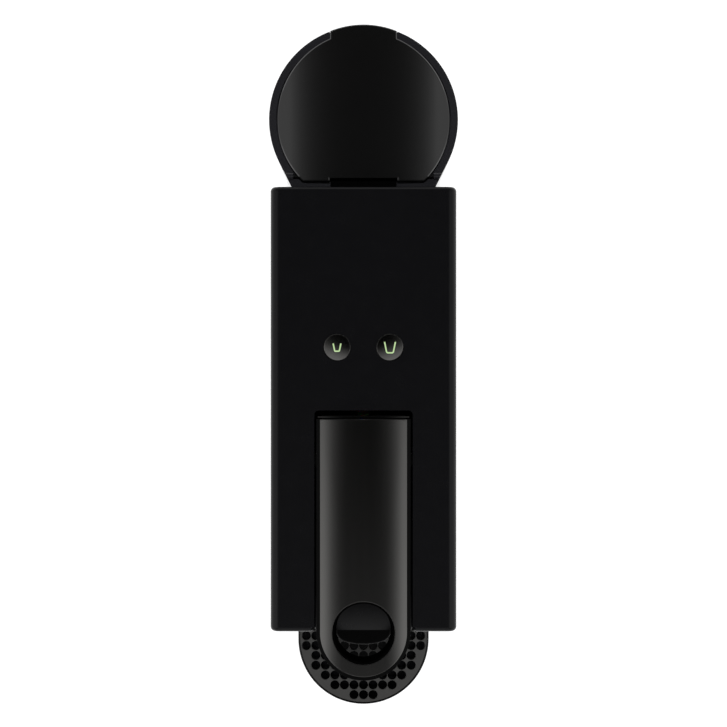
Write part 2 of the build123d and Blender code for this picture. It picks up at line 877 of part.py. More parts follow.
def feed_hose():
    """From the heater to the back of the cage's stem. It bends as the cage moves."""
    return rod_along_y(0, feed_hose_z, hose_radius, stem_rear_y, heater_front)


def thermoblock():
    """The cast heater block, held between the cheeks by four lugs."""
    half = heater_width / 2
    body = block(-half, half, heater_front, heater_rear, heater_bottom, heater_top)
    body = fillet(body.edges().filter_by(Axis.Y), heater_edge_radius)
    middle = (heater_bottom + heater_top) / 2
    low = middle - heater_lug
    high = middle + heater_lug
    for y in (heater_front + heater_lug, heater_rear - heater_lug):
        body += block(-cheek_inner, cheek_inner, y - heater_lug, y + heater_lug, low, high)
    return body


def heater_terminals():
    """Two flat tabs at the back where the heating rod comes out of the block."""
    z = (heater_bottom + heater_top) / 2
    x = terminal_spacing / 2
    half = terminal_width / 2
    end = heater_rear + terminal_length
    return mirrored(block(x, x + terminal_thickness, heater_rear, end, z - half, z + half))


def thermal_fuse():
    """A round cut-out on top of the heater."""
    middle = (heater_front + heater_rear) / 2
    return rod_along_z(0, middle, fuse_radius, heater_top, heater_top + fuse_height)


def control_board():
    """The main board on posts against the back wall, with its tall parts."""
    half = board_width / 2
    back = rear_panel_front - board_standoff
    front = back - board_thickness
    top = board_bottom + board_height
    board = block(-half, half, front, back, board_bottom, top)
    for x in (-half + board_standoff, half - board_standoff):
        for z in (board_bottom + board_standoff, top - board_standoff):
            post = board_standoff / 2
            board += block(x - post, x + post, back, rear_panel_front, z - post, z + post)
    relay_half = half / 2
    relay_front = front - board_part_depth
    relay = block(-relay_half, relay_half, relay_front, front, board_bottom, board_bottom + half)
    return board + relay


# Buttons


def button_top():
    """Height of a button's rim at rest."""
    return shell_top + button_proud


def flange_top():
    """A button's flange hangs just under the shell."""
    return inner_top - fit_gap


def button_at(side):
    """A round button with a rounded top that leans outward and forward."""
    x = side * button_spacing / 2
    head = rod_along_z(x, button_y, button_radius, button_top() - button_height, button_top())
    shift_x = side * button_dome_shift * sin(radians(button_lean))
    shift_y = button_dome_shift * cos(radians(button_lean))
    crown = Pos(x - shift_x, button_y + shift_y, button_top() - button_dome_radius)
    lean = Rot(0, 0, -side * button_lean) * Rot(90, 0, 0)
    head &= crown * lean * Cylinder(button_dome_radius, 4 * button_radius)
    flange_bottom = flange_top() - button_flange
    head += rod_along_z(x, button_y, button_radius + button_flange, flange_bottom, flange_top())
    stem_bottom = button_top() - button_height - button_stem_length
    half = button_stem_width / 2
    stem = block(x - half, x + half, button_y - half, button_y + half, stem_bottom, flange_bottom)
    return head + stem


def switch_top():
    """A switch stays clear of its button's stem over the whole press."""
    stem_bottom = button_top() - button_height - button_stem_length
    return stem_bottom - button_travel - slide_gap


def tact_switches():
    """One switch under each button."""
    half = switch_size / 2
    x = button_spacing / 2
    low = switch_top() - switch_height
    return mirrored(block(x - half, x + half, button_y - half, button_y + half, low, switch_top()))


def board_span():
    """Ends of the button board along the machine."""
    return button_y - carrier_length / 2, button_y + carrier_length / 2


def button_board():
    """The small board that carries both switches."""
    half = carrier_width / 2 - carrier_wall - fit_gap
    front, rear = board_span()
    top = switch_top() - switch_height
    return block(-half, half, front, rear, top - board_thickness, top)


def button_carrier():
    """A channel that hangs from the shell's top and holds the button board."""
    half = carrier_width / 2
    front, rear = board_span()
    floor_top = switch_top() - switch_height - board_thickness
    carrier = block(-half, half, front, rear, floor_top - carrier_wall, inner_top)
    inside = half - carrier_wall
    return carrier - block(-inside, inside, front, rear, floor_top, inner_top)


# Water tank


def tab_half():
    """Half the width of the lid's finger tab."""
    return lid_tab_width / 2


def lid_hinge_bar(radius, half):
    """A round bar on the lid's hinge axis, from one side to the other."""
    return rod_along_x(lid_pin_y, lid_pin_z, radius, -half, half)


def water_tank():
    """The tank: thin walls, a thick rim with a ledge for the lid, and a low deck between hinge ears."""
    outline = tank_outline(0, tank_front_y)
    tank = prism(outline, tank_seat, tank_top)
    ear_top = lid_pin_z + lid_ear_radius
    tank += lid_hinge_bar(lid_ear_radius, tank_radius) & prism(outline, tank_seat, ear_top)
    cavity = tank_outline(tank_wall, tank_front_y + tank_wall)
    ledge = lid_outline(tank_rim_width + tank_ledge_width, ledge_front_y)
    mouth = lid_outline(tank_rim_width, lid_front_y - slide_gap)
    tank -= prism(cavity, tank_seat + tank_floor, ledge_z - tank_ledge_width)
    tank -= prism(ledge, ledge_z - tank_ledge_width, ledge_z)
    tank -= prism(mouth, ledge_z, ear_top)
    half = hinge_deck_half
    tank -= block(-half, half, tank_front_y, ledge_front_y, tank_top - hinge_deck_drop, ear_top)
    tank -= lid_hinge_bar(lid_pin_radius + pin_gap, lid_pin_end + fit_gap)
    notch = tab_half() + slide_gap
    notch_z = tank_top - lid_plate - slide_gap
    tank -= block(-notch, notch, tank_y, rear_end, notch_z, tank_top)
    return tank - rod_along_z(0, valve_y, valve_radius + pin_gap, tank_seat, tank_seat + tank_floor)


def tank_lid():
    """An arched lid, hinged near its straight front edge, with a finger tab at the back."""
    rise = lid_crown_radius - sqrt(lid_crown_radius**2 - lid_radius**2)
    low = tank_top - lid_plate
    high = tank_top + rise
    lid = prism(lid_outline(lid_inset, lid_front_y), low, high)
    tab = prism(tank_outline(0, tank_front_y), low, high)
    lid += tab & block(-tab_half(), tab_half(), tank_y, rear_end, low, high)
    lid &= arch(high, lid_crown_radius)
    hollow = prism(lid_outline(lid_inset + lid_skin, ledge_front_y), low, high)
    lid -= hollow & arch(high - lid_skin, lid_crown_radius - lid_skin)
    cut_half = lid_slot_width / 2
    lid -= block(-cut_half, cut_half, lid_front_y, lid_front_y + lid_slot_depth, low, high)
    start = lid_pin_start - fit_gap
    for hole in mirrored(lid_pin(lid_pin_radius + pin_gap, start, hinge_deck_half)):
        lid -= hole
    return lid


def lid_pin(radius, start, end):
    """A stub on the lid's hinge axis at the right side."""
    return rod_along_x(lid_pin_y, lid_pin_z, radius, start, end)


def tank_lid_pin():
    """A stub pin at each side of the lid, held in the tank's ears."""
    return mirrored(lid_pin(lid_pin_radius, lid_pin_start, lid_pin_end))


def tank_valve():
    """The valve housing in the tank's floor."""
    top = tank_seat + valve_height
    valve = rod_along_z(0, valve_y, valve_radius, tank_seat, top)
    valve -= rod_along_z(0, valve_y, valve_radius - valve_wall, tank_seat, top - valve_wall)
    return valve - rod_along_z(0, valve_y, valve_mouth_radius, tank_seat, top)


def valve_poppet():
    """A disc on top of the valve that closes it when the tank is lifted off."""
    top = tank_seat + valve_height
    disc = rod_along_z(0, valve_y, 2 * valve_mouth_radius, top, top + poppet_thickness)
    return disc + rod_along_z(0, valve_y, valve_mouth_radius - fit_gap, top - valve_wall, top)


def tank_spigot():
    """The tube on the plinth that the tank's valve drops over."""
    low = tank_seat - base_wall
    spigot = rod_along_z(0, valve_y, spigot_radius, low, tank_seat + spigot_height)
    flange_radius = spigot_radius + spigot_flange
    spigot += rod_along_z(0, valve_y, flange_radius, low - spigot_flange, low)
    return spigot - rod_along_z(0, valve_y, spigot_bore_radius, low, tank_seat + spigot_height)


def spigot_seal():
    """A ring around the spigot."""
    low = tank_seat + spigot_height / 2 - spigot_seal_section / 2
    ring_radius = valve_radius - valve_wall - slide_gap
    ring = rod_along_z(0, valve_y, ring_radius, low, low + spigot_seal_section)
    hole = spigot_radius + pin_gap
    return ring - rod_along_z(0, valve_y, hole, low, low + spigot_seal_section)


# Drawer


def drip_tray():
    """The D-shaped tray with a lip for the grid, on a tongue that runs under the container."""
    tray = prism(tray_outline(0, tray_back_y), tray_bottom, tray_top)
    floor_top = tray_bottom + tray_wall
    tray -= prism(tray_outline(tray_wall, tray_back_y - tray_wall), floor_top, grid_z)
    tray -= prism(tray_outline(tray_lip, tray_back_y - tray_lip), grid_z, tray_top)
    tongue_half = container_half - tongue_thickness
    tongue_front = tray_back_y - tray_wall
    tongue_rear = container_rear_y
    return tray + block(-tongue_half, tongue_half, tongue_front, tongue_rear, tongue_z, tongue_top)


def grid_holes():
    """Places of the drain holes: rows from the front to the back, kept inside the border."""
    reach = tray_half - grid_border - grid_hole_radius
    back = tray_back_y - grid_border - 2 * grid_hole_radius
    places = []
    y = tray_y - reach + grid_row_inset
    while y < back:
        ahead = min(y - tray_y, 0)
        half_row = sqrt(max(reach**2 - ahead**2, 0))
        count = int(half_row / grid_pitch_x)
        places += [(column * grid_pitch_x, y) for column in range(-count, count + 1)]
        y += grid_pitch_y
    return places


def drip_grid():
    """The cup's grid: a flat plate with rows of drain holes."""
    inset = tray_lip + fit_gap
    plate = tray_outline(inset, tray_back_y - inset)
    hole = RegularPolygon(grid_hole_radius, 6)
    holes = [(Pos(x, y) * hole).wire() for x, y in grid_holes()]
    face = Face(plate.face().outer_wire(), holes)
    return prism(face, grid_z, tray_top)


def capsule_container():
    """An open box for used capsules behind a full-width front plate."""
    half = container_half
    box = block(-half, half, panel_back, container_rear_y, tongue_top, container_top)
    inside = container_half - container_wall
    box -= block(
        -inside,
        inside,
        panel_back,
        container_rear_y - container_wall,
        tongue_top + container_wall,
        container_top,
    )
    side = inner_half - slide_gap
    front = block(-side, side, front_y, panel_back, tongue_z, container_top)
    tongue_half = container_half - tongue_thickness + fit_gap
    return box + front - block(-tongue_half, tongue_half, front_y, panel_back, tongue_z, tongue_top)


left_side = mirrored(cheek())[1]

parts = {
    "outer_shell": outer_shell(),
    "front_panel": front_panel(),
    "rear_panel": rear_panel(),
    "base_plate": base_plate(),
    "rubber_feet": rubber_feet(),
    "cord_gland": cord_gland(),
    "left_cheek": left_side,
    "right_cheek": cheek(),
    "extraction_head": extraction_head(),
    "extraction_plate": extraction_plate(),
    "spout_nozzle": spout_nozzle(),
    "coffee_spout": coffee_spout(),
    "guide_rods": guide_rods(),
    "rear_bridge": rear_bridge(),
    "capsule_chute": capsule_chute(),
    "capsule_cage": capsule_cage(),
    "cage_seal": cage_seal(),
    "injection_plate": injection_plate(),
    "lever_handle": lever_handle(),
    "lever_core": lever_core(),
    "lever_axle": lever_axle(),
    "crank_pins": crank_pins(),
    "tie_rods": tie_rods(),
    "rocker_yoke": rocker_yoke(),
    "rocker_shaft": rocker_shaft(),
    "rocker_pins": rocker_pins(),
    "yoke_pin": yoke_pin(),
    "pump_core": pump_core(),
    "pump_coil": pump_coil(),
    "pump_mounts": pump_mounts(),
    "flow_meter": flow_meter(),
    "suction_hose": suction_hose(),
    "meter_hose": meter_hose(),
    "pressure_hose": pressure_hose(),
    "feed_hose": feed_hose(),
    "thermoblock": thermoblock(),
    "heater_terminals": heater_terminals(),
    "thermal_fuse": thermal_fuse(),
    "control_board": control_board(),
    "espresso_button": button_at(-1),
    "lungo_button": button_at(1),
    "tact_switches": tact_switches(),
    "button_board": button_board(),
    "button_carrier": button_carrier(),
    "water_tank": water_tank(),
    "tank_lid": tank_lid(),
    "tank_lid_pin": tank_lid_pin(),
    "tank_valve": tank_valve(),
    "valve_poppet": valve_poppet(),
    "tank_spigot": tank_spigot(),
    "spigot_seal": spigot_seal(),
    "drip_tray": drip_tray(),
    "drip_grid": drip_grid(),
    "capsule_container": capsule_container(),
}

os.makedirs("parts", exist_ok=True)
for node, shape in parts.items():
    solids = shape if isinstance(shape, list) else [shape]
    if len(solids) == 1:
        export_step(solids[0], f"parts/{node}.step")
    else:
        export_step(Compound(children=solids), f"parts/{node}.step")
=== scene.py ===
import json
import math

import bmesh
import bpy
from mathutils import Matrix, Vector


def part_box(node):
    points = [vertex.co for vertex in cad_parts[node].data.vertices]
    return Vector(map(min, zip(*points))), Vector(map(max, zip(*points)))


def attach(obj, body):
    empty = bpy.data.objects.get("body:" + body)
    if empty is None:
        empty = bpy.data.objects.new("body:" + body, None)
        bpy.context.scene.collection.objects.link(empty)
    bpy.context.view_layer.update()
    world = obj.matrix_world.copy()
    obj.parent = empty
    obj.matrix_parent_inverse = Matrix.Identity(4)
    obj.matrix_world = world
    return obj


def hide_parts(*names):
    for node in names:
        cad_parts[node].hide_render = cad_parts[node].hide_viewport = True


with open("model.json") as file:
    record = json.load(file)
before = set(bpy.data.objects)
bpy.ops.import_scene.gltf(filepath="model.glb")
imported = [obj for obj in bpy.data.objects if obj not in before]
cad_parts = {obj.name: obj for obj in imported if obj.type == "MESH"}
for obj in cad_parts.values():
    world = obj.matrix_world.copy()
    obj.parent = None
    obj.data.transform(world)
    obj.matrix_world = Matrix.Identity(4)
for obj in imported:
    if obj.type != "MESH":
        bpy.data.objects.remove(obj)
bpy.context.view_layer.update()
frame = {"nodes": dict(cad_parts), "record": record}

# A slim pod coffee machine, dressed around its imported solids. Blender units are metres,
# and sizes of the object are written in millimetres through mm().


def mm(value):
    """Millimetres as metres."""
    return value / 1000


# The photograph's camera: straight above, this far up and this far behind the middle
PHOTO_PIXELS = 727
FOCAL_PIXELS = 1818.7
CAMERA_HEIGHT = 1.0
CAMERA_Y = mm(13.6)
SENSOR_WIDTH = 36

TINY = 1e-9

# Lever
LEVER_CROWN_RADIUS = mm(75)
LEVER_HOLE_RADIUS = mm(13.8)
LEVER_BORDER = mm(1.6)
SKIN_HEIGHT = mm(0.3)
SKIN_EDGE = mm(0.12)
SKIN_MARGIN = mm(0.15)
SKIN_REAR_GAP = mm(0.2)
SKIN_SPOKES = 144
SKIN_RINGS = 28
SKIN_EDGE_STEPS = 4
LIP_HALF = mm(20.1)
LIP_SETBACK = mm(0.9)
LIP_WIDTH = mm(0.5)
LIP_COLUMNS = 48
LINER_MOUTH = mm(12.9)
LINER_MOUTH_DROP = mm(0.6)
LINER_RADIUS = mm(12.1)
LINER_DROP = mm(0.35)
LINER_BOTTOM = mm(12)

# Nose under the finger hole
NOSE_SIDE_GAP = mm(0.3)
NOSE_CROWN_RADIUS = mm(68)
NOSE_CROWN_SETBACK = mm(9.6)
NOSE_LENGTH = mm(15.4)
NOSE_TOP = mm(187.8)
NOSE_THICKNESS = mm(3)
NOSE_STEPS = 24

# Rim of the lever's slot in the shell
SLOT_SIDE_GAP = mm(0.95)
SLOT_REAR_GAP = mm(3.75)
SLOT_CORNER = mm(2)
SLOT_RIM_WIDTH = mm(2.2)
SLOT_RIM_LIFT = mm(0.01)
SLOT_STEPS = 10

# Buttons
BUTTON_RADIUS = mm(5.8)
BUTTON_LEAN = (0.083, 0.065)
BUTTON_BEND = (12.1, 28.4, 8.5)
BUTTON_CROWN = mm(0.1)
BUTTON_EDGE = mm(0.08)
BUTTON_MARGIN = mm(0.1)
BUTTON_STEM_RADIUS = mm(1.75)
BUTTON_FLANGE_RADIUS = mm(7)
BUTTON_FLANGE_TOP = mm(197.2)
BUTTON_FLANGE_BOTTOM = mm(196)
BUTTON_SPOKES = 72
BUTTON_RINGS = 14
BUTTON_EDGE_STEPS = 3
SMALL_CUP = mm(4.0)
LARGE_CUP = mm(5.4)
CUP_STROKE = mm(0.6)
CUP_HEIGHT = mm(0.12)
CUP_TOP = 0.5  # half widths and corner, as shares of the cup's height
CUP_BASE = 0.32
CUP_CORNER = 0.14
CUP_STEPS = 6

# Drip grid
GRID_HOLE_RADIUS = mm(2.4)
GRID_ROW_INSET = mm(1.43)
GRID_PITCH_X = mm(5.0)
GRID_PITCH_Y = mm(5.15)
GRID_BORDER = mm(2.45)
GRID_BACK_ROOM = mm(1.2)
GRID_EDGE = mm(0.15)
GRID_RIM_STEPS = 64
GRID_HOLE_STEPS = 28

# Tank lid
LID_INSET = mm(3.7)
LID_CROWN_RADIUS = mm(150)
LID_SLOT_HALF = mm(15.2)
LID_SLOT_DEPTH = mm(1.1)
LID_TAB_HALF = mm(14.85)
LID_TAB_INSET = mm(0.55)
LID_EDGE = mm(0.4)
LID_EDGE_DROP = mm(0.31)
LID_MARGIN = mm(0.15)
LID_RIM = mm(1.2)
LID_RECESS = mm(1)
LID_RIM_STEPS = 60
LID_TAB_STEPS = 8
LID_STRIPS = 56

# Pad under the lid's slot, on the tank's deck
PAD_HALF = mm(14.8)
PAD_FRONT_GAP = mm(0.4)
PAD_REACH = mm(1.4)
PAD_CORNER = mm(0.6)
PAD_DECK = mm(183.5)
PAD_LIFT = mm(0.1)
PAD_DEPTH = mm(0.4)
PAD_EDGE = mm(0.05)
PAD_STEPS = 6

# Blank plug in the cord's gland
PLUG_RADIUS = mm(3.35)
PLUG_DEPTH = mm(1.5)
PLUG_RISE = mm(0.5)
PLUG_TURN = math.radians(50)
PLUG_SPOKES = 36
PLUG_RINGS = 5

# Lamp above the machine
LAMP_STRENGTH = 2.65
LAMP_ANGLE = math.radians(1)
LAMP_LEAN = math.radians(6.7)

# Light from the room, by the direction (x, y, z) that it comes from. A fade is a smooth step
# between two directions: from, to, and the levels there.
SIDE_GROWTH = 13.3
SIDE_START = -6.1
SIDE_FADE = (-0.25, 0.10, 1.4, 0.56)
SIDE_REAR_END = (0.35, 0.6, 1.0, 0.0)
SIDE_FRONT_END = (-0.6, -0.35, 0.0, 1.0)
FRONT_FADE = (-0.6, 0.0, 0.7, 0.0)
FRONT_SIDE_END = (0.3, 0.5, 1.0, 0.0)
BACK_FADE = (0.5, 0.9, 0.0, 0.35)
ROOM_TOP = (0.3, 0.45, 1.0, 0.0)

# Floor
FLOOR_HALF = 6
FLOOR_GREY = 0.8
FLOOR_SHADE = 0.25
FLOOR_GLOW = 0.87

# Rounding of the solids' edges
SHARP = math.radians(32)
WELD_REACH = mm(0.002)
FLAT_ANGLE = math.radians(0.5)
BEVEL_ANGLE = math.radians(35)
BEVEL_SEGMENTS = 3
EDGE = mm(0.3)
EDGES = {
    "outer_shell": mm(0.05),
    "lever_handle": mm(0.8),
    "water_tank": mm(0.45),
    "coffee_spout": mm(2.5),
    "front_panel": mm(0.4),
    "drip_tray": mm(0.35),
    "rubber_feet": mm(0.5),
}


class Graph:
    """The shader nodes of one tree, added and linked by short calls."""

    def __init__(self, tree):
        self.tree = tree
        tree.nodes.clear()

    def feed(self, socket, value):
        """A socket takes another socket's output, or a plain value."""
        if isinstance(value, bpy.types.NodeSocket):
            self.tree.links.new(value, socket)
        else:
            socket.default_value = value

    def node(self, kind, inputs=None, **settings):
        made = self.tree.nodes.new(kind)
        for name, value in settings.items():
            setattr(made, name, value)
        for name, value in (inputs or {}).items():
            self.feed(made.inputs[name], value)
        return made

    def math(self, operation, *values):
        made = self.node("ShaderNodeMath", operation=operation)
        for socket, value in zip(made.inputs, values):
            self.feed(socket, value)
        return made.outputs[0]

    def ramp(self, value, low, high, to_low=0.0, to_high=1.0):
        """A smooth step of a value from one level to another."""
        names = ("Value", "From Min", "From Max", "To Min", "To Max")
        inputs = dict(zip(names, (value, low, high, to_low, to_high)))
        made = self.node("ShaderNodeMapRange", inputs, interpolation_type="SMOOTHSTEP")
        return made.outputs["Result"]

    def noise(self, place, size, detail=2.0, stretch=(1, 1, 1)):
        """Noise with grains of about a given size, drawn out along the axes by stretch."""
        scale = Vector(1 / (size * part) for part in stretch)
        mapped = self.node("ShaderNodeMapping", {"Vector": place, "Scale": scale})
        inputs = {"Vector": mapped.outputs[0], "Scale": 1.0, "Detail": detail}
        return self.node("ShaderNodeTexNoise", inputs).outputs["Fac"]

    def blend(self, factor, first, second):
        """Two colours mixed by a factor."""
        made = self.node("ShaderNodeMix", data_type="RGBA")
        self.feed(made.inputs[0], factor)
        self.feed(made.inputs[6], first)
        self.feed(made.inputs[7], second)
        return made.outputs[2]

    def bump(self, height, depth, strength=1.0):
        inputs = {"Height": height, "Distance": depth, "Strength": strength}
        return self.node("ShaderNodeBump", inputs).outputs[0]


def grey(value, tint=(1, 1, 1)):
    """A colour of one brightness, leaning to a tint."""
    return (value * tint[0], value * tint[1], value * tint[2], 1)


COOL = (0.97, 0.97, 1.1)
WARM = (1.0, 0.985, 0.955)

# Structure of the moulded surfaces: clouds as wide as so many grains, details of the noise,
# and the span of the noise that the gloss follows
CLOUD_GRAINS = 24
CLOUD_DETAIL = 3.0
FINE_DETAIL = 2.0
NOISE_SPAN = (0.25, 0.75)

# Circuit board
BOARD_CELLS = 260.0
BOARD_TRACK = (0.06, 0.1)
BOARD_GREEN = (0.02, 0.14, 0.05, 1)
BOARD_LIGHT_GREEN = (0.06, 0.3, 0.12, 1)
BOARD_GLOSS = (0.3, 0.42)
BOARD_CLOUD = mm(4)
BOARD_CLOUD_SPAN = (0.3, 0.7)
BOARD_RELIEF = mm(0.04)

# Lit cup
ICON_CLOUD = mm(1.5)
ICON_GREEN = (0.40, 0.62, 0.24, 1)
ICON_LIGHT_GREEN = (0.58, 0.74, 0.42, 1)
ICON_GLOSS = 0.4
ICON_BASE = 0.02


def new_material(name):
    """A material with an empty tree, and the solids' own coordinates in metres."""
    material = bpy.data.materials.new(name)
    material.use_nodes = True
    graph = Graph(material.node_tree)
    place = graph.node("ShaderNodeTexCoord").outputs["Object"]
    return material, graph, place


def close_material(graph, inputs):
    """Ends a tree in one Principled shader."""
    shader = graph.node("ShaderNodeBsdfPrincipled", inputs)
    output = graph.node("ShaderNodeOutputMaterial")
    graph.tree.links.new(shader.outputs[0], output.inputs["Surface"])


def surface(name, tones, gloss, grain, relief, stretch=(1, 1, 1), **settings):
    """A moulded or finished surface: two tones in soft clouds, an uneven gloss, a fine relief.

    tones and gloss are the two ends of its colour and roughness, grain the size of its finest
    structure, relief that structure's height, and stretch draws the structure out.
    """
    material, graph, place = new_material(name)
    clouds = graph.noise(place, CLOUD_GRAINS * grain, CLOUD_DETAIL, stretch)
    fine = graph.noise(place, grain, FINE_DETAIL, stretch)
    uneven = graph.math("MULTIPLY_ADD", fine, 0.5, graph.math("MULTIPLY", clouds, 0.5))
    inputs = {
        "Base Color": graph.blend(clouds, tones[0], tones[1]),
        "Roughness": graph.ramp(uneven, *NOISE_SPAN, *gloss),
        "Normal": graph.bump(fine, relief),
    }
    inputs.update({key.replace("_", " "): value for key, value in settings.items()})
    close_material(graph, inputs)
    return material


def circuit_board(name):
    """Green lacquer over a net of lighter tracks."""
    material, graph, place = new_material(name)
    inputs = {"Vector": place, "Scale": BOARD_CELLS}
    edges = {"feature": "DISTANCE_TO_EDGE", "distance": "MANHATTAN"}
    cells = graph.node("ShaderNodeTexVoronoi", inputs, **edges)
    tracks = graph.ramp(cells.outputs["Distance"], *BOARD_TRACK)
    clouds = graph.noise(place, BOARD_CLOUD)
    inputs = {
        "Base Color": graph.blend(tracks, BOARD_LIGHT_GREEN, BOARD_GREEN),
        "Roughness": graph.ramp(clouds, *BOARD_CLOUD_SPAN, *BOARD_GLOSS),
        "Normal": graph.bump(tracks, BOARD_RELIEF),
    }
    close_material(graph, inputs)
    return material


def lit_icon(name):
    """A green light guide, a little uneven in its glow."""
    material, graph, place = new_material(name)
    glow = graph.noise(place, ICON_CLOUD)
    inputs = {
        "Base Color": grey(ICON_BASE),
        "Roughness": ICON_GLOSS,
        "Emission Color": graph.blend(glow, ICON_GREEN, ICON_LIGHT_GREEN),
        "Emission Strength": 1.0,
    }
    close_material(graph, inputs)
    return material


# One surface for each slot of the record, and those of the scene's own pieces
SURFACES = {
    "shell_black": {
        "tones": (grey(0.0034, COOL), grey(0.0038, COOL)), "gloss": (0.22, 0.28),
        "grain": mm(0.25), "relief": mm(0.002), "Specular_IOR_Level": 0.17,
    },
    "panel_black": {
        "tones": (grey(0.0018, COOL), grey(0.0022, COOL)), "gloss": (0.22, 0.28),
        "grain": mm(0.3), "relief": mm(0.003), "Specular_IOR_Level": 0.43,
    },
    "lever_grey": {
        "tones": (grey(0.101, WARM), grey(0.109, WARM)), "gloss": (0.12, 0.15),
        "grain": mm(0.12), "relief": mm(0.0002), "stretch": (1, 30, 1), "Metallic": 0.98,
    },
    "lip_grey": {
        "tones": (grey(0.024, WARM), grey(0.027, WARM)), "gloss": (0.14, 0.18),
        "grain": mm(0.12), "relief": mm(0.0003), "Metallic": 0.98,
    },
    "button_grey": {
        "tones": (grey(0.205, WARM), grey(0.22, WARM)), "gloss": (0.14, 0.18),
        "grain": mm(0.12), "relief": mm(0.0003), "Metallic": 1.0,
    },
    "grid_grey": {
        "tones": (grey(0.034, WARM), grey(0.038, WARM)), "gloss": (0.4, 0.5),
        "grain": mm(0.2), "relief": mm(0.004), "Specular_IOR_Level": 0.3,
    },
    "tank_smoke": {
        "tones": (grey(0.018, COOL), grey(0.021, COOL)), "gloss": (0.08, 0.14),
        "grain": mm(0.6), "relief": mm(0.002), "Transmission_Weight": 0.35, "IOR": 1.49,
    },
    "lid_black": {
        "tones": (grey(0.0036), grey(0.004)), "gloss": (0.07, 0.10),
        "grain": mm(0.5), "relief": mm(0.0003), "Specular_IOR_Level": 0.88,
    },
    "steel": {
        "tones": (grey(0.5), grey(0.58)), "gloss": (0.2, 0.34),
        "grain": mm(0.1), "relief": mm(0.002), "stretch": (20, 1, 1), "Metallic": 1.0,
    },
    "cast_aluminium": {
        "tones": (grey(0.55), grey(0.68)), "gloss": (0.42, 0.6),
        "grain": mm(0.5), "relief": mm(0.05), "Metallic": 1.0,
    },
    "rubber_black": {
        "tones": (grey(0.02), grey(0.03)), "gloss": (0.7, 0.85),
        "grain": mm(0.3), "relief": mm(0.02), "Specular_IOR_Level": 0.3,
    },
    "hose_silicone": {
        "tones": (grey(0.62), grey(0.72)), "gloss": (0.35, 0.5),
        "grain": mm(0.4), "relief": mm(0.01), "Subsurface_Weight": 0.3,
    },
    "inner_plastic": {
        "tones": (grey(0.045), grey(0.06)), "gloss": (0.4, 0.55),
        "grain": mm(0.3), "relief": mm(0.012),
    },
    "pump_brass": {
        "tones": ((0.62, 0.46, 0.2, 1), (0.72, 0.55, 0.28, 1)), "gloss": (0.22, 0.36),
        "grain": mm(0.1), "relief": mm(0.003), "stretch": (1, 20, 1), "Metallic": 1.0,
    },
    "coil_black": {
        "tones": (grey(0.03), grey(0.045)), "gloss": (0.5, 0.65),
        "grain": mm(0.4), "relief": mm(0.03),
    },
    "fuse_ceramic": {
        "tones": ((0.7, 0.66, 0.58, 1), (0.78, 0.75, 0.68, 1)), "gloss": (0.5, 0.7),
        "grain": mm(0.3), "relief": mm(0.03),
    },
    "lever_frame": {
        "tones": (grey(0.0012), grey(0.0016)), "gloss": (0.4, 0.5),
        "grain": mm(0.25), "relief": mm(0.003), "Specular_IOR_Level": 0.06,
    },
    # A near-black with no reflection at all: painted shade on the finger hole's wall and in the
    # lid's hinge slot
    "deep_black": {
        "tones": (grey(0.0007), grey(0.001)), "gloss": (0.5, 0.6),
        "grain": mm(0.25), "relief": mm(0.003), "Specular_IOR_Level": 0.0,
    },
    # A darker, duller copy of panel_black: painted shade for the spout, which lies in the shade
    # under the lever and nose
    "spout_painted_shade_black": {
        "tones": (grey(0.0007), grey(0.001)), "gloss": (0.4, 0.5),
        "grain": mm(0.25), "relief": mm(0.003), "Specular_IOR_Level": 0.05,
    },
}

materials = {name: surface(name, **row) for name, row in SURFACES.items()}
materials["board_green"] = circuit_board("board_green")
materials["icon_green"] = lit_icon("icon_green")
slot_of = {row["node"]: row["material_slot"] for row in frame["record"]["subparts"]}


def paint(piece, material):
    """Gives a piece one material."""
    piece.data.materials.clear()
    piece.data.materials.append(materials[material])


def round_edges(piece, width):
    """Joins the facets of flat faces, rounds the sharp edges and keeps flat faces flat."""
    piece.data.polygons.foreach_set("use_smooth", [True] * len(piece.data.polygons))
    weld = piece.modifiers.new("weld", "WELD")
    weld.merge_threshold = WELD_REACH
    flat = piece.modifiers.new("flat", "DECIMATE")
    flat.decimate_type = "DISSOLVE"
    flat.angle_limit = FLAT_ANGLE
    edge = piece.modifiers.new("edge", "BEVEL")
    edge.width = width
    edge.segments = BEVEL_SEGMENTS
    edge.limit_method = "ANGLE"
    edge.angle_limit = BEVEL_ANGLE
    edge.use_clamp_overlap = True
    even = piece.modifiers.new("even", "WEIGHTED_NORMAL")
    even.keep_sharp = True


def dress_solids():
    """Every solid of the frame gets its slot's material and rounded edges."""
    for name, node in frame["nodes"].items():
        paint(node, slot_of[name])
        round_edges(node, EDGES.get(name, EDGE))


def new_piece(name, points, faces, material, body):
    """A mesh piece that rides on a body."""
    mesh = bpy.data.meshes.new(name)
    mesh.from_pydata(points, [], faces)
    mesh.validate()
    mesh.polygons.foreach_set("use_smooth", [True] * len(mesh.polygons))
    piece = bpy.data.objects.new(name, mesh)
    bpy.context.scene.collection.objects.link(piece)
    paint(piece, material)
    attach(piece, body)
    return piece


def loft(rows):
    """Quads between rows of points, each row a closed ring with as many points as the next."""
    count = len(rows[0])
    points = [point for row in rows for point in row]
    faces = []
    for row in range(len(rows) - 1):
        for spoke in range(count):
            after = (spoke + 1) % count
            low, high = row * count, (row + 1) * count
            faces.append((low + spoke, low + after, high + after, high + spoke))
    return points, faces


def circle(x, y, radius, count):
    turns = [2 * math.pi * step / count for step in range(count)]
    return [(x + radius * math.cos(turn), y + radius * math.sin(turn)) for turn in turns]


def round_step(edge, step, steps):
    """Inset and drop of one step round a quarter circle, from the wall up to the flat."""
    angle = math.pi / 2 * step / steps
    return edge * (1 - math.cos(angle)), edge * (1 - math.sin(angle))


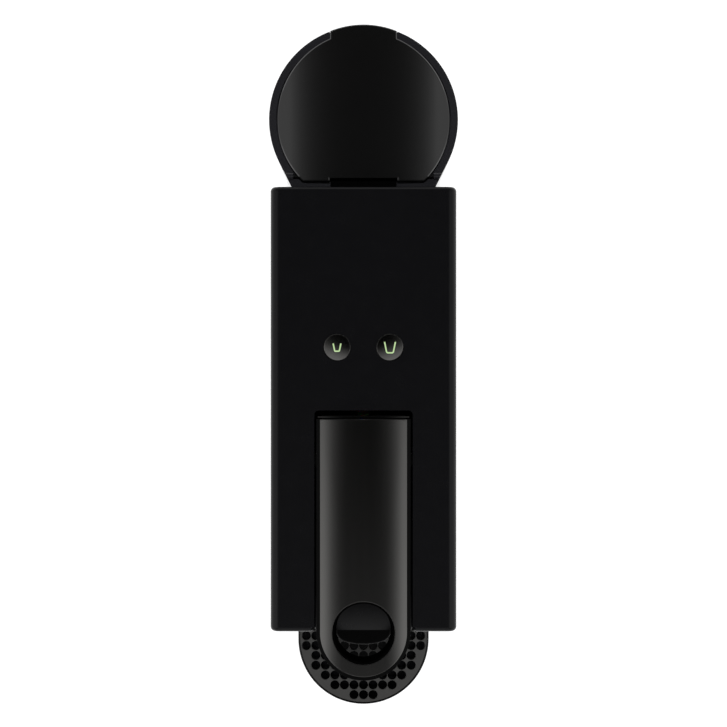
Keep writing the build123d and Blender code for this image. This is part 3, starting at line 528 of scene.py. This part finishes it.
def filled_plate(name, outlines, low, high, edge):
    """A flat plate with holes: the first outline is its rim, the rest are holes."""
    curve = bpy.data.curves.new(name, "CURVE")
    curve.dimensions = "2D"
    curve.fill_mode = "BOTH"
    curve.extrude = (high - low) / 2 - edge
    curve.bevel_depth = edge
    curve.bevel_resolution = 2
    for outline in outlines:
        spline = curve.splines.new("POLY")
        spline.points.add(len(outline) - 1)
        for point, (x, y) in zip(spline.points, outline):
            point.co = (x, y, 0, 1)
        spline.use_cyclic_u = True
    carrier = bpy.data.objects.new(name, curve)
    mesh = bpy.data.meshes.new_from_object(carrier)
    bpy.data.objects.remove(carrier)
    points = [(v.co.x, v.co.y, v.co.z + (low + high) / 2) for v in mesh.vertices]
    faces = [tuple(face.vertices) for face in mesh.polygons]
    return points, faces


# Lever


def lever_reach(angle, half, length):
    """Distance from the finger hole's centre to the lever's outline in one direction."""
    across, along = abs(math.cos(angle)), math.sin(angle)
    if along <= 0:
        return half
    return min(half / max(across, TINY), length / along)


def lever_angles(half, length):
    """Directions round the hole, with the lever's rear corners among them."""
    corner = math.atan2(length, half)
    angles = [2 * math.pi * spoke / SKIN_SPOKES for spoke in range(SKIN_SPOKES)]
    for target in (corner, math.pi - corner):
        nearest = min(range(SKIN_SPOKES), key=lambda spoke: abs(angles[spoke] - target))
        angles[nearest] = target
    return angles


def lever_crown(x):
    """Height of the lever's arched top."""
    _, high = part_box("lever_handle")
    return high.z + math.sqrt(LEVER_CROWN_RADIUS**2 - x**2) - LEVER_CROWN_RADIUS


def lever_lip():
    """A thin bright strip across the lever's rear lip."""
    _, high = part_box("lever_handle")
    half = LIP_WIDTH / 2
    section = [(-half, -LIP_WIDTH), (half, -LIP_WIDTH), (half, 0), (-half, 0)]
    rows = []
    for column in range(LIP_COLUMNS + 1):
        x = LIP_HALF * (2 * column / LIP_COLUMNS - 1)
        rows.append([(x, high.y + LIP_SETBACK + y, lever_crown(x) + z) for y, z in section])
    points, faces = loft(rows)
    faces.append(tuple(reversed(range(len(section)))))
    faces.append(tuple(range(len(points) - len(section), len(points))))
    piece = new_piece("lever_lip", points, faces, "lip_grey", "lever")
    piece.data.set_sharp_from_angle(angle=SHARP)


def lever_liner():
    """The funnel inside the finger hole, in a near-black that paints the shade on its wall."""
    low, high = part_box("lever_handle")
    centre_y = low.y + high.x
    wall = LEVER_HOLE_RADIUS

    def ring(radius, drop):
        turn = circle(0, centre_y, radius, SKIN_SPOKES)
        return [(x, y, lever_crown(x) - drop) for x, y in turn]

    top = ring(wall, LINER_DROP)
    mouth = ring(LINER_MOUTH, LINER_MOUTH_DROP)
    rows = [top, mouth, ring(LINER_RADIUS, LINER_BOTTOM), ring(wall, LINER_BOTTOM), top]
    # Painted shade: the liner takes the unreflecting near-black
    piece = new_piece("lever_liner", *loft(rows), "deep_black", "lever")
    piece.data.set_sharp_from_angle(angle=SHARP)


def lever_skin():
    """The satin plate on the lever's crown, with its own thin rounded edge."""
    low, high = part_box("lever_handle")
    half = high.x - LEVER_BORDER
    hole_y = low.y + high.x
    length = high.y - hole_y - SKIN_REAR_GAP
    angles = lever_angles(half, length)

    def ring(share, inset, lift):
        points = []
        for angle in angles:
            inner = LEVER_HOLE_RADIUS + inset
            outer = lever_reach(angle, half - inset, length - inset)
            reach = inner + (outer - inner) * share
            x, y = reach * math.cos(angle), hole_y + reach * math.sin(angle)
            points.append((x, y, lever_crown(x) + lift))
        return points

    steps = range(SKIN_EDGE_STEPS + 1)
    rounds = [round_step(SKIN_EDGE, step, SKIN_EDGE_STEPS) for step in steps]
    inside = SKIN_EDGE + SKIN_MARGIN
    rows = [ring(0, 0, -SKIN_HEIGHT)]
    rows += [ring(0, inset, SKIN_HEIGHT - drop) for inset, drop in rounds]
    rows += [ring(share / SKIN_RINGS, inside, SKIN_HEIGHT) for share in range(SKIN_RINGS + 1)]
    rows += [ring(1, inset, SKIN_HEIGHT - drop) for inset, drop in reversed(rounds)]
    rows += [ring(1, 0, -SKIN_HEIGHT), ring(0, 0, -SKIN_HEIGHT)]
    piece = new_piece("lever_skin", *loft(rows), "lever_grey", "lever")


def nose_cover():
    """The smooth cover of the nose, seen through the finger hole."""
    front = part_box("front_panel")[0].y
    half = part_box("lever_handle")[1].x - NOSE_SIDE_GAP
    section = [(front + NOSE_LENGTH, -NOSE_THICKNESS), (front, -NOSE_THICKNESS)]
    for step in range(NOSE_STEPS + 1):
        along = NOSE_LENGTH * step / NOSE_STEPS
        drop = (along - NOSE_CROWN_SETBACK) ** 2 / (2 * NOSE_CROWN_RADIUS)
        section.append((front + along, -drop))
    rows = [[(x, y, NOSE_TOP + z) for y, z in section] for x in (-half, half)]
    points, faces = loft(rows)
    faces.append(tuple(range(len(section))))
    faces.append(tuple(reversed(range(len(section), 2 * len(section)))))
    cover = new_piece("nose_cover", points, faces, "panel_black", "housing")
    cover.data.set_sharp_from_angle(angle=SHARP)


# Slot in the shell


def slot_path(half, front, rear):
    """Left half of the slot's edge, front to rear: places and the ways out of the slot there.

    It starts behind the slot's front corner, which the solid keeps.
    """
    corner = SLOT_CORNER
    path = [(Vector((-half, front + corner)), Vector((-1, 0)))]
    for step in range(SLOT_STEPS + 1):
        turn = math.pi / 2 * step / SLOT_STEPS
        outward = Vector((-math.cos(turn), math.sin(turn)))
        place = Vector((-half + corner, rear - corner)) + outward * corner
        path.append((place, outward))
    return path


def slot_rim():
    """The square edge of the lever's slot, round its sides and rear."""
    low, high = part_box("outer_shell")
    _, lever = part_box("lever_handle")
    path = slot_path(lever.x + SLOT_SIDE_GAP, low.y, lever.y + SLOT_REAR_GAP)
    top = high.z + SLOT_RIM_LIFT
    bottom = high.z - SLOT_CORNER
    rows = []
    for place, outward in path:
        far = place + outward * SLOT_RIM_WIDTH
        rows.append([(*place, bottom), (*place, top), (*far, top), (*far, bottom)])
    rows += [[(-x, y, z) for x, y, z in row] for row in reversed(rows)]
    points, faces = loft(rows)
    faces += [(3, 2, 1, 0), tuple(range(len(points) - 4, len(points)))]
    rim = new_piece("slot_rim", points, faces, "shell_black", "housing")
    rim.data.set_sharp_from_angle(angle=SHARP)


# Buttons


def button_dome(node, side):
    """Height of a button's top: a shallow bowl turned over, leaning outward and forward."""
    low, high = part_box(node)
    centre = (low + high) / 2
    bend_x, bend_y, twist = BUTTON_BEND

    def height(x, y):
        inward, rear = side * (centre.x - x), y - centre.y
        lean = BUTTON_LEAN[0] * inward + BUTTON_LEAN[1] * rear
        bend = (bend_x * inward**2 + bend_y * rear**2) / 2 + twist * inward * rear
        return high.z - BUTTON_CROWN + lean - bend

    return centre, low.z, height


def button(node, side, cup_size):
    """A round button with a fine rim, its flange and stem, and the lit cup in its top."""
    centre, bottom, height = button_dome(node, side)

    def ring(radius, lift):
        turn = circle(centre.x, centre.y, radius, BUTTON_SPOKES)
        return [(x, y, height(x, y) + lift) for x, y in turn]

    def level(radius, z):
        return [(x, y, z) for x, y in circle(centre.x, centre.y, radius, BUTTON_SPOKES)]

    rows = [
        level(BUTTON_STEM_RADIUS, bottom),
        level(BUTTON_STEM_RADIUS, BUTTON_FLANGE_BOTTOM),
        level(BUTTON_FLANGE_RADIUS, BUTTON_FLANGE_BOTTOM),
        level(BUTTON_FLANGE_RADIUS, BUTTON_FLANGE_TOP),
        level(BUTTON_RADIUS, BUTTON_FLANGE_TOP),
    ]
    for step in range(BUTTON_EDGE_STEPS + 1):
        inset, drop = round_step(BUTTON_EDGE, step, BUTTON_EDGE_STEPS)
        rows.append(ring(BUTTON_RADIUS - inset, -drop))
    inside = BUTTON_RADIUS - BUTTON_EDGE - BUTTON_MARGIN
    rows += [ring(inside * (1 - share / BUTTON_RINGS), 0) for share in range(BUTTON_RINGS)]
    points, faces = loft(rows)
    faces.append(tuple(range(len(points) - BUTTON_SPOKES, len(points))))
    faces.append(tuple(reversed(range(BUTTON_SPOKES))))
    cap = new_piece(node + "_cap", points, faces, "button_grey", node)
    cap.data.set_sharp_from_angle(angle=SHARP)
    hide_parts(node)
    cup_icon(node, centre, height, cup_size)


def cup_path(size):
    """A cup from the side, as one open line: down, across and up again."""
    top, base, corner = size * CUP_TOP, size * CUP_BASE, size * CUP_CORNER
    half = size / 2
    lean = math.atan2(top - base, size)
    half_path = [(-top, half)]
    for step in range(CUP_STEPS + 1):
        angle = math.pi + lean + (math.pi / 2 - lean) * step / CUP_STEPS
        x = -base + corner + corner * math.cos(angle)
        half_path.append((x, -half + corner + corner * math.sin(angle)))
    return half_path + [(-x, y) for x, y in reversed(half_path)]


def cup_icon(node, centre, height, size):
    """The lit cup: a flat ribbon that follows the button's top."""
    path = [Vector(point) for point in cup_path(size - CUP_STROKE)]
    rows = []
    for index, point in enumerate(path):
        before = path[max(index - 1, 0)]
        after = path[min(index + 1, len(path) - 1)]
        along = (after - before).normalized()
        across = Vector((-along.y, along.x)) * CUP_STROKE / 2
        sides = [centre.xy + point - across, centre.xy + point + across]
        rows.append([(side.x, side.y, height(side.x, side.y)) for side in sides])
    points, faces = [], []
    for left, right in rows:
        for lift in (-CUP_HEIGHT, CUP_HEIGHT):
            points += [(left[0], left[1], left[2] + lift), (right[0], right[1], right[2] + lift)]
    for index in range(len(rows) - 1):
        a, b = 4 * index, 4 * index + 4
        faces += [(a + 2, a + 3, b + 3, b + 2), (a + 1, a, b, b + 1)]
        faces += [(a, a + 2, b + 2, b), (a + 3, a + 1, b + 1, b + 3)]
    last = 4 * (len(rows) - 1)
    faces += [(0, 1, 3, 2), (last + 1, last, last + 2, last + 3)]
    icon = new_piece(node + "_icon", points, faces, "icon_green", node)
    icon.data.polygons.foreach_set("use_smooth", [False] * len(icon.data.polygons))


# Tank lid


def inset_outline(outline, inset):
    """A closed outline, drawn counter-clockwise, moved inward with mitred corners."""
    moved = []
    for index, point in enumerate(outline):
        before = (point - outline[index - 1]).normalized()
        after = (outline[(index + 1) % len(outline)] - point).normalized()
        inward = Vector((-before.y - after.y, before.x + after.x))
        moved.append(point + inward * 2 * inset / inward.length_squared)
    return moved


def arched_plate(outline, levels, floor, height, strips):
    """A plate cut into strips that follow an arch across it.

    levels are its rims from the middle of its underside to the middle of its top: an inset, a
    height, and whether that height counts from the flat floor or from the arch.
    """
    rows = [[(*point, 0) for point in inset_outline(outline, inset)] for inset, _, _ in levels]
    points, faces = loft(rows)
    faces.append(tuple(reversed(range(len(outline)))))
    faces.append(tuple(range(len(points) - len(outline), len(points))))
    mesh = bpy.data.meshes.new("plate")
    mesh.from_pydata(points, [], faces)
    sheet = bmesh.new()
    sheet.from_mesh(mesh)
    bpy.data.meshes.remove(mesh)
    for index, vert in enumerate(sheet.verts):
        vert.co.z = index // len(outline)
    half = max(point.x for point in outline)
    for strip in range(1, strips):
        cut = Vector((half * (2 * strip / strips - 1), 0, 0))
        everything = sheet.verts[:] + sheet.edges[:] + sheet.faces[:]
        bmesh.ops.bisect_plane(sheet, geom=everything, plane_co=cut, plane_no=(1, 0, 0))
    points = []
    for vert in sheet.verts:
        share, row = math.modf(vert.co.z)
        ends = [levels[int(row)], levels[min(int(row) + 1, len(levels) - 1)]]
        heights = [lift + (floor if flat else height(vert.co.x)) for _, lift, flat in ends]
        points.append((vert.co.x, vert.co.y, heights[0] + (heights[1] - heights[0]) * share))
    sheet.verts.index_update()
    faces = [tuple(vert.index for vert in face.verts) for face in sheet.faces]
    sheet.free()
    return points, faces


def lid_outline(centre_y, outer, front_y):
    """The lid from above: a disc with a straight slotted front, and a tab at the back."""
    radius = outer - LID_INSET
    reach = outer - LID_TAB_INSET
    front = math.asin((centre_y - front_y) / radius)
    tab = math.acos(LID_TAB_HALF / radius)
    tab_end = math.acos(LID_TAB_HALF / reach)
    sweep = (tab + front) / LID_RIM_STEPS
    turns = [-front + sweep * step for step in range(LID_RIM_STEPS + 1)]
    side = [(radius * math.cos(turn), centre_y + radius * math.sin(turn)) for turn in turns]
    sweep = (math.pi / 2 - tab_end) / LID_TAB_STEPS
    turns = [tab_end + sweep * step for step in range(LID_TAB_STEPS + 1)]
    side += [(reach * math.cos(turn), centre_y + reach * math.sin(turn)) for turn in turns]
    slot_y = front_y + LID_SLOT_DEPTH
    right = [(LID_SLOT_HALF, slot_y), (LID_SLOT_HALF, front_y)] + side
    left = [(-x, y) for x, y in reversed(right[:-1])]
    return [Vector(point) for point in right + left]


def tank_lid():
    """The gloss lid: arched, with a fine chamfer, a tab, a slot at its hinge and a recess below."""
    _, tank_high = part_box("water_tank")
    low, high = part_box("tank_lid")
    outline = lid_outline(tank_high.y - tank_high.x, tank_high.x, low.y)

    def height(x):
        return high.z + math.sqrt(LID_CROWN_RADIUS**2 - x**2) - LID_CROWN_RADIUS

    levels = [(LID_RIM, LID_RECESS, True), (LID_RIM, 0, True), (0, 0, True)]
    levels += [(0, -LID_EDGE_DROP, False), (LID_EDGE, 0, False)]
    levels.append((LID_EDGE + LID_MARGIN, 0, False))
    points, faces = arched_plate(outline, levels, low.z, height, LID_STRIPS)
    lid = new_piece("tank_lid_body", points, faces, "lid_black", "tank_lid")
    lid.data.set_sharp_from_angle(angle=SHARP)
    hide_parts("tank_lid")


def hinge_pad():
    """The pad under the lid's slot, between the hinge ears: a thin near-black sheet that paints the
    shade in the slot.
    """
    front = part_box("water_tank")[0].y + PAD_FRONT_GAP + PAD_CORNER
    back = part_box("tank_lid")[0].y + PAD_REACH - PAD_CORNER
    side = PAD_HALF - PAD_CORNER
    centres = [(side, back), (-side, back), (-side, front), (side, front)]
    outline = []
    for corner, (x, y) in enumerate(centres):
        for step in range(PAD_STEPS + 1):
            turn = math.pi / 2 * (corner + step / PAD_STEPS)
            outline.append((x + PAD_CORNER * math.cos(turn), y + PAD_CORNER * math.sin(turn)))
    top = PAD_DECK + PAD_LIFT
    points, faces = filled_plate("hinge_pad", [outline], top - PAD_DEPTH, top, PAD_EDGE)
    # Painted shade: the pad takes the unreflecting near-black
    pad = new_piece("hinge_pad", points, faces, "deep_black", "tank")
    pad.data.set_sharp_from_angle(angle=SHARP)


# Drip grid


def grid_holes(low, high):
    """Rows of holes from the front to the back, kept inside the border."""
    reach = high.x - GRID_BORDER
    middle = low.y + high.x
    y = middle - reach + GRID_ROW_INSET
    places = []
    while y < high.y - GRID_BORDER - GRID_BACK_ROOM:
        ahead = min(y - middle, 0)
        count = int(math.sqrt(max(reach**2 - ahead**2, 0)) / GRID_PITCH_X)
        places += [(column * GRID_PITCH_X, y) for column in range(-count, count + 1)]
        y += GRID_PITCH_Y
    return places


def drip_grid():
    """The cup's grid with round, soft-edged holes."""
    low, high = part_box("drip_grid")
    radius = high.x - GRID_EDGE
    middle = low.y + high.x
    rim = [(radius, high.y - GRID_EDGE), (-radius, high.y - GRID_EDGE)]
    for step in range(GRID_RIM_STEPS + 1):
        angle = math.pi + math.pi * step / GRID_RIM_STEPS
        rim.append((radius * math.cos(angle), middle + radius * math.sin(angle)))
    hole_radius = GRID_HOLE_RADIUS + GRID_EDGE
    places = grid_holes(low, high)
    holes = [circle(x, y, hole_radius, GRID_HOLE_STEPS)[::-1] for x, y in places]
    points, faces = filled_plate("drip_grid_plate", [rim] + holes, low.z, high.z, GRID_EDGE)
    plate = new_piece("drip_grid_plate", points, faces, "grid_grey", "drip_grid")
    plate.data.set_sharp_from_angle(angle=SHARP)
    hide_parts("drip_grid")


# Gland


def gland_plug():
    """A blank, domed rubber plug where the cord would come out."""
    low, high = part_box("cord_gland")
    centre = (low + high) / 2
    along = Vector((-math.sin(PLUG_TURN), math.cos(PLUG_TURN), 0))
    across = Vector((math.cos(PLUG_TURN), math.sin(PLUG_TURN), 0))

    def ring(radius, depth):
        turn = circle(0, 0, radius, PLUG_SPOKES)
        return [centre + along * depth + across * x + Vector((0, 0, z)) for x, z in turn]

    rows = [ring(PLUG_RADIUS, -PLUG_DEPTH)]
    for step in range(PLUG_RINGS):
        share = step / PLUG_RINGS
        rows.append(ring(PLUG_RADIUS * (1 - share), PLUG_RISE * (1 - (1 - share) ** 2)))
    points, faces = loft(rows)
    faces.append(tuple(range(PLUG_SPOKES)))
    faces.append(tuple(reversed(range(len(points) - PLUG_SPOKES, len(points)))))
    faces = [tuple(reversed(face)) for face in faces]
    plug = new_piece("gland_plug", points, faces, "rubber_black", "housing")
    plug.data.set_sharp_from_angle(angle=SHARP)


# Stage


def floor_material():
    """Pale floor: white to the camera and in reflections, and it keeps the object's shadow."""
    material, graph, _ = new_material("floor")
    path = graph.node("ShaderNodeLightPath").outputs
    seen = graph.math("MAXIMUM", path["Is Camera Ray"], path["Is Glossy Ray"])
    seen = graph.math("MAXIMUM", seen, path["Is Transmission Ray"])
    plain = graph.node("ShaderNodeBsdfDiffuse", {"Color": grey(FLOOR_GREY)})
    shade = graph.node("ShaderNodeBsdfDiffuse", {"Color": grey(FLOOR_SHADE)})
    white = graph.node("ShaderNodeEmission", {"Color": grey(1), "Strength": FLOOR_GLOW})
    lit = graph.node("ShaderNodeAddShader", {0: shade.outputs[0], 1: white.outputs[0]})
    mixed = graph.node("ShaderNodeMixShader", {0: seen, 1: plain.outputs[0], 2: lit.outputs[0]})
    output = graph.node("ShaderNodeOutputMaterial")
    graph.tree.links.new(mixed.outputs[0], output.inputs["Surface"])
    return material


def add_floor():
    half = FLOOR_HALF
    corners = [(-half, -half, 0), (half, -half, 0), (half, half, 0), (-half, half, 0)]
    mesh = bpy.data.meshes.new("floor")
    mesh.from_pydata(corners, [], [(0, 1, 2, 3)])
    mesh.materials.append(floor_material())
    floor = bpy.data.objects.new("floor", mesh)
    bpy.context.scene.collection.objects.link(floor)


def add_light():
    """A dark ceiling between two wide soft boxes, left and right, and a pale room below."""
    world = bpy.data.worlds.new("studio")
    world.use_nodes = True
    graph = Graph(world.node_tree)
    direction = graph.node("ShaderNodeTexCoord").outputs["Generated"]
    axes = graph.node("ShaderNodeSeparateXYZ", {0: direction}).outputs
    sideways = graph.math("ABSOLUTE", axes["X"])
    growth = graph.math("MULTIPLY_ADD", sideways, SIDE_GROWTH, SIDE_START)
    sides = graph.math("EXPONENT", graph.math("MINIMUM", growth, 0.0))
    for fade in (SIDE_FADE, SIDE_REAR_END, SIDE_FRONT_END):
        sides = graph.math("MULTIPLY", sides, graph.ramp(axes["Y"], *fade))
    front = graph.ramp(axes["Y"], *FRONT_FADE)
    front = graph.math("MULTIPLY", front, graph.ramp(sideways, *FRONT_SIDE_END))
    back = graph.ramp(axes["Y"], *BACK_FADE)
    boxes = graph.math("MAXIMUM", sides, graph.math("MAXIMUM", front, back))
    path = graph.node("ShaderNodeLightPath").outputs
    seen = graph.math("MAXIMUM", path["Is Camera Ray"], path["Is Glossy Ray"])
    seen = graph.math("MAXIMUM", seen, path["Is Transmission Ray"])
    low_band = graph.ramp(axes["Z"], *ROOM_TOP)
    room = graph.math("MULTIPLY", low_band, seen)
    strength = graph.math("MAXIMUM", boxes, room)
    background = graph.node("ShaderNodeBackground", {"Color": grey(1), "Strength": strength})
    output = graph.node("ShaderNodeOutputWorld")
    graph.tree.links.new(background.outputs[0], output.inputs["Surface"])
    bpy.context.scene.world = world


def add_lamp():
    """A lamp high above, a little behind: it fills the tops and is kept out of reflections."""
    data = bpy.data.lights.new("lamp", "SUN")
    data.energy = LAMP_STRENGTH
    data.angle = LAMP_ANGLE
    lamp = bpy.data.objects.new("lamp", data)
    lamp.rotation_euler = (-LAMP_LEAN, 0, 0)
    lamp.visible_glossy = False
    lamp.visible_transmission = False
    bpy.context.scene.collection.objects.link(lamp)


def add_camera():
    data = bpy.data.cameras.new("camera")
    data.sensor_width = SENSOR_WIDTH
    data.lens = SENSOR_WIDTH * FOCAL_PIXELS / PHOTO_PIXELS
    camera = bpy.data.objects.new("camera", data)
    camera.location = (0, CAMERA_Y, CAMERA_HEIGHT)
    bpy.context.scene.collection.objects.link(camera)
    bpy.context.scene.camera = camera


dress_solids()
for name in ("lever_handle", "lever_core", "lever_axle", "capsule_chute"):
    paint(frame["nodes"][name], "lever_frame")
paint(frame["nodes"]["tank_lid_pin"], "panel_black")
# The spout takes the darker copy of the panel's black plastic, as painted shade
paint(frame["nodes"]["coffee_spout"], "spout_painted_shade_black")
lever_skin()
lever_lip()
lever_liner()
nose_cover()
slot_rim()
button("espresso_button", -1, SMALL_CUP)
button("lungo_button", 1, LARGE_CUP)
tank_lid()
hinge_pad()
drip_grid()
gland_plug()
add_floor()
add_light()
add_lamp()
add_camera()
bpy.context.scene.view_settings.view_transform = "Standard"
